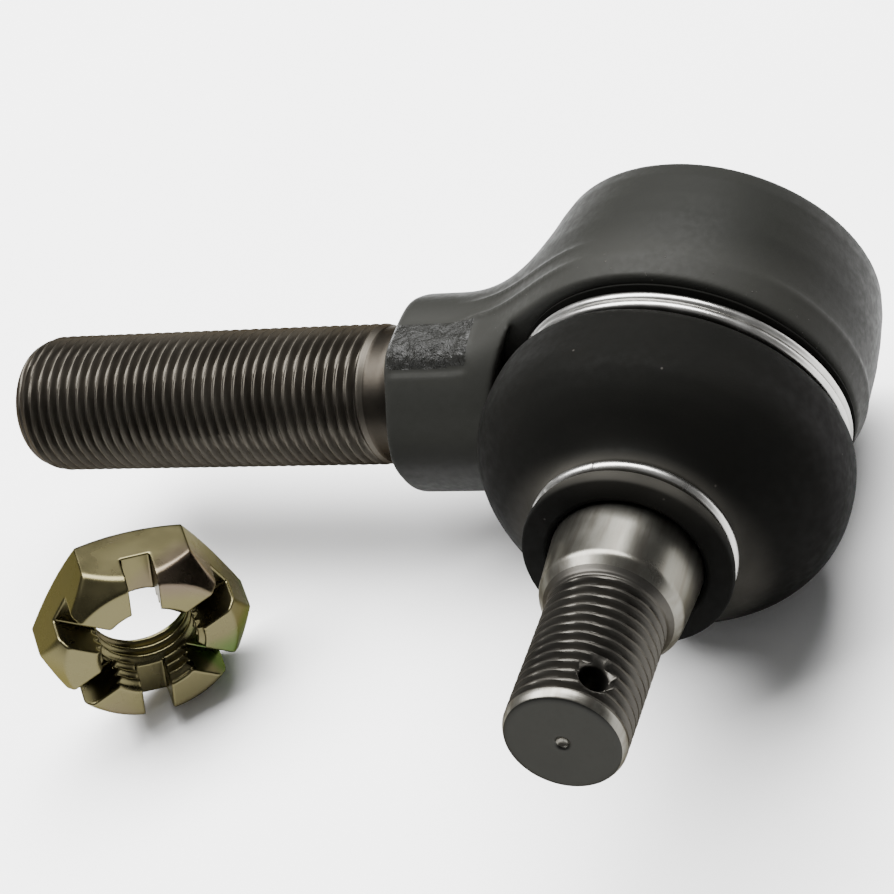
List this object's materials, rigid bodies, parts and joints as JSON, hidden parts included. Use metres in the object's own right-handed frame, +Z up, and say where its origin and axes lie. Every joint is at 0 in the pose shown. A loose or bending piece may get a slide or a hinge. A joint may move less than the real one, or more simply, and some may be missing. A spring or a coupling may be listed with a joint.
{
  "type": "tie rod end",
  "caption": "Steering tie rod end: forged socket with threaded shank, tilting ball stud, dust boot with wire clips, and a loose castle nut.",
  "frame": {"origin": "centre of the closing plate's flat outer face, on the socket's axis", "axes": "+Y out of the closing plate along the socket's axis, with the stud towards -Y; the threaded shank runs along -X; +Z up as the part lies on its side"},
  "size_m": [0.1174, 0.0806, 0.0455],
  "materials": {
    "forging_paint": "semi-gloss dark grey paint over a rough forged surface",
    "plate_paint": "semi-gloss dark grey paint",
    "spring_steel": "oiled spring wire",
    "seat_plastic": "greased bearing plastic",
    "stud_steel": "ground and rolled bare steel",
    "boot_rubber": "matt moulded rubber",
    "clip_steel": "bright drawn wire",
    "nut_zinc": "yellow zinc plating"
  },
  "bodies": {
    "socket": {"socket_housing": "forging_paint", "closing_plate": "plate_paint", "preload_spring": "spring_steel", "lower_seat": "seat_plastic", "upper_seat": "seat_plastic", "boot_base": "boot_rubber", "boot_clip": "clip_steel"},
    "boot_middle": {"boot_wall": "boot_rubber"},
    "boot_top": {"boot_neck": "boot_rubber", "neck_ring": "clip_steel"},
    "stud": {"ball_stud": "stud_steel"},
    "nut": {"castle_nut": "nut_zinc"}
  },
  "joints": [
    {"name": "stud_pitch", "type": "hinge", "parent": "socket", "child": "boot_middle", "pos_m": [0, -0.0185, 0], "axis": [1, 0, 0], "range_deg": [-6, 30], "deforming": ["boot_wall"]},
    {"name": "stud_yaw", "type": "hinge", "parent": "boot_middle", "child": "boot_top", "pos_m": [0, -0.0185, 0], "axis": [0, 0.2079, 0.9781], "range_deg": [-23, 13], "deforming": ["boot_wall"]},
    {"name": "stud_spin", "type": "hinge", "parent": "boot_top", "child": "stud", "pos_m": [0, -0.0185, 0], "axis": [0.0872, -0.9744, 0.2071], "continuous": true},
    {"name": "nut_lift", "type": "slide", "parent": "socket", "child": "nut", "axis": [0, 0, 1], "range_m": [0, 0.05]}
  ]
}
